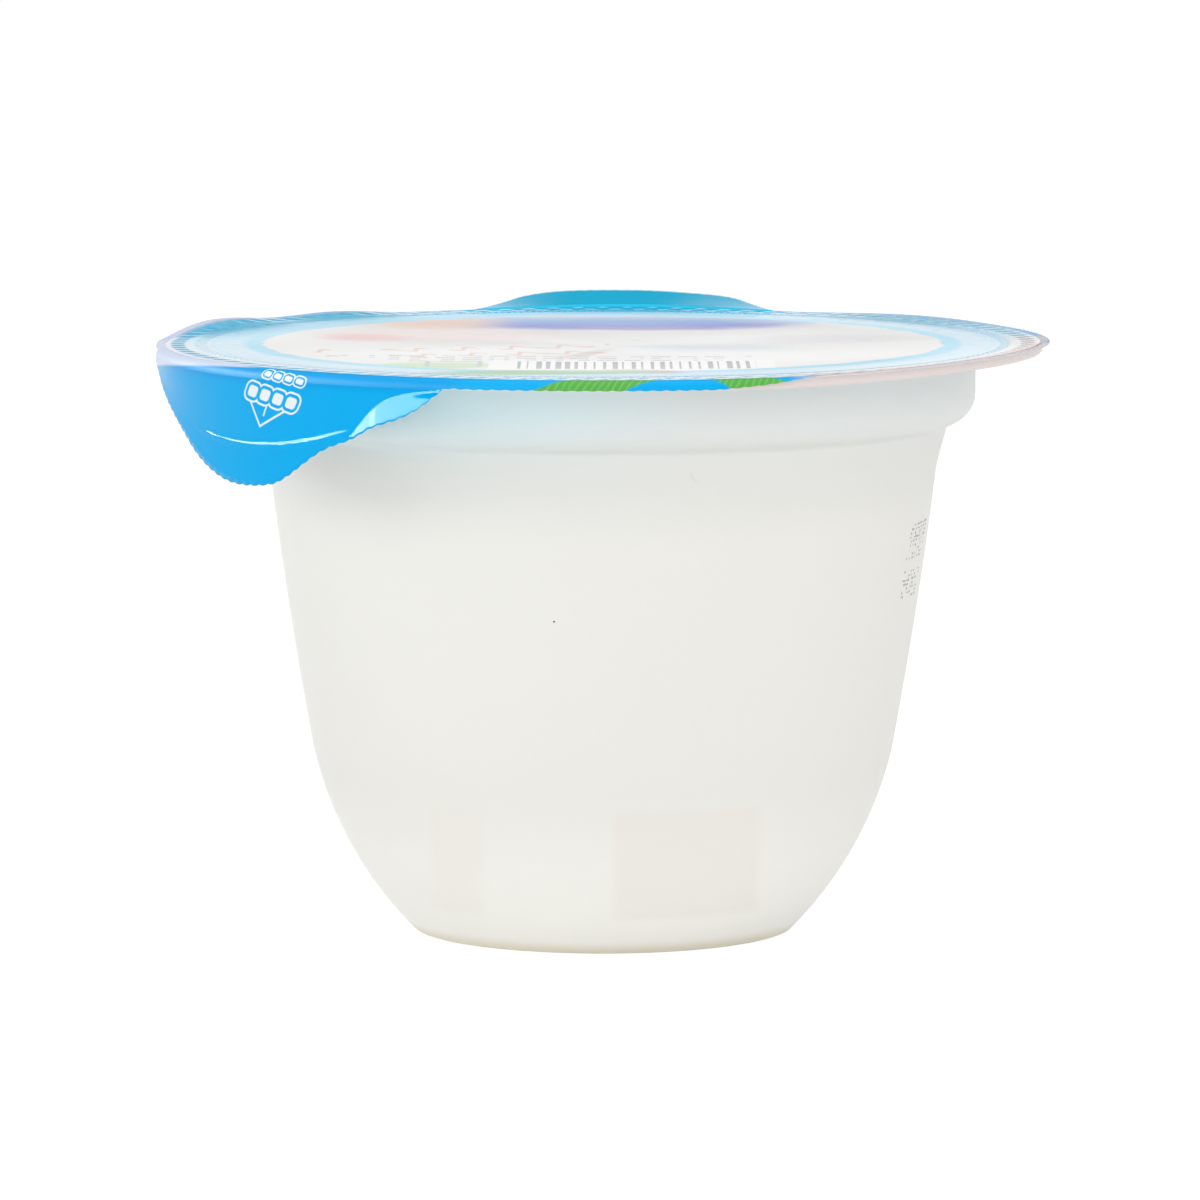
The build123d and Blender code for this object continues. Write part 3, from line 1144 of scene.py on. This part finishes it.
# %% [markdown]
# ## Light
# A plain white studio: a wide white floor and a white sweep that darkens to a ceiling, with four
# soft panels. The glossy film shows the sweep at a low angle, which gives the white veil over its
# print. Two narrow strips are seen in gloss only, and make the tab's crease and curl shine. The
# camera sees pure white behind the pot.

# %% World
world = bpy.data.worlds.new("studio")
bpy.context.scene.world = world
world.use_nodes = True
wtree = world.node_tree
backdrop = wtree.nodes["Background"]
paths = wtree.nodes.new("ShaderNodeLightPath")
where = wtree.nodes.new("ShaderNodeTexCoord")
split = wtree.nodes.new("ShaderNodeSeparateXYZ")
wtree.links.new(where.outputs["Generated"], split.inputs[0])
WHITE_SWEEP = (1.0, 1.0, 1.0, 1.0)
DARK_CEILING = (0.05, 0.05, 0.05, 1.0)
ROOM_LIGHT = (0.55, 0.55, 0.55, 1.0)
ceiling = Field(wtree, split.outputs["Z"]).between(0.045, 0.22)
sky = layer(wtree, WHITE_SWEEP, DARK_CEILING, ceiling)
shown = Field(wtree, paths.outputs["Is Camera Ray"])
shown = shown.higher(Field(wtree, paths.outputs["Is Glossy Ray"]))
shown = shown.higher(Field(wtree, paths.outputs["Is Transmission Ray"]))
sky = layer(wtree, ROOM_LIGHT, sky, shown)
wtree.links.new(sky, backdrop.inputs["Color"])
backdrop.inputs["Strength"].default_value = 1.0
print("world nodes", len(wtree.nodes))


# %% Soft panels
def panel_light(name, azimuth, elevation, distance, width, height, brightness):
    """Soft panel that faces the pot. Its power is brightness times pi times its area."""
    data = bpy.data.lights.new(name, "AREA")
    data.shape = "RECTANGLE"
    data.size = width
    data.size_y = height
    data.energy = brightness * math.pi * width * height
    a, e = math.radians(azimuth), math.radians(elevation)
    away = np.array([math.sin(a) * math.cos(e), -math.cos(a) * math.cos(e), math.sin(e)])
    made = bpy.data.objects.new(name, data)
    made.location = (away * distance + np.array([0, 0, pot_height * MM / 2])).tolist()
    made.rotation_euler = (math.radians(90 - elevation), 0, math.radians(azimuth))
    bpy.context.scene.collection.objects.link(made)
    return made


PANELS = (
    # name, azimuth, elevation, distance, width, height, brightness
    ("overhead_panel", 0, 90, 1.0, 0.8, 0.8, 2.0),
    ("front_panel", 8, 14, 1.6, 1.6, 0.8, 1.38),
    ("right_panel", 70, 20, 1.3, 0.7, 0.6, 1.0),
    ("left_panel", -70, 20, 1.3, 0.7, 0.6, 1.7),
)
panels = {panel[0]: panel_light(*panel) for panel in PANELS}
panels["left_panel"].visible_glossy = False
for name, azimuth in (("crease_strip", -105), ("leaf_strip", -62)):
    strip = panel_light(name, azimuth, 16, 1.2, 1.0, 0.3, 28.0)
    strip.visible_diffuse = False
print(len(panels), "panels and 2 strips")

# %% Floor
floor_mesh = bpy.data.meshes.new("floor")
floor_half = 8.0
floor_corners = [(x * floor_half, y * floor_half, 0) for x, y in ((-1, -1), (1, -1), (1, 1), (-1, 1))]
floor_mesh.from_pydata(floor_corners, [], [(0, 1, 2, 3)])
floor = bpy.data.objects.new("floor", floor_mesh)
bpy.context.scene.collection.objects.link(floor)
floor_material = bpy.data.materials.new("pale_floor")
floor_material.use_nodes = True
floor_mesh.materials.append(floor_material)
ftree = floor_material.node_tree
ftree.nodes.clear()
bounce = ftree.nodes.new("ShaderNodeBsdfDiffuse")
bounce.inputs["Color"].default_value = (0.93, 0.93, 0.92, 1)
shadowed = ftree.nodes.new("ShaderNodeBsdfDiffuse")
shadowed.inputs["Color"].default_value = (0.2, 0.2, 0.2, 1)
glow = ftree.nodes.new("ShaderNodeEmission")
glow.inputs["Strength"].default_value = 0.9
white = ftree.nodes.new("ShaderNodeAddShader")
ftree.links.new(shadowed.outputs[0], white.inputs[0])
ftree.links.new(glow.outputs[0], white.inputs[1])
floor_paths = ftree.nodes.new("ShaderNodeLightPath")
seen = Field(ftree, floor_paths.outputs["Is Camera Ray"])
seen = seen.higher(Field(ftree, floor_paths.outputs["Is Glossy Ray"]))
seen = seen.higher(Field(ftree, floor_paths.outputs["Is Transmission Ray"]))
pick = ftree.nodes.new("ShaderNodeMixShader")
plug(ftree, pick.inputs[0], seen)
ftree.links.new(bounce.outputs[0], pick.inputs[1])
ftree.links.new(white.outputs[0], pick.inputs[2])
surface = ftree.nodes.new("ShaderNodeOutputMaterial")
ftree.links.new(pick.outputs[0], surface.inputs[0])
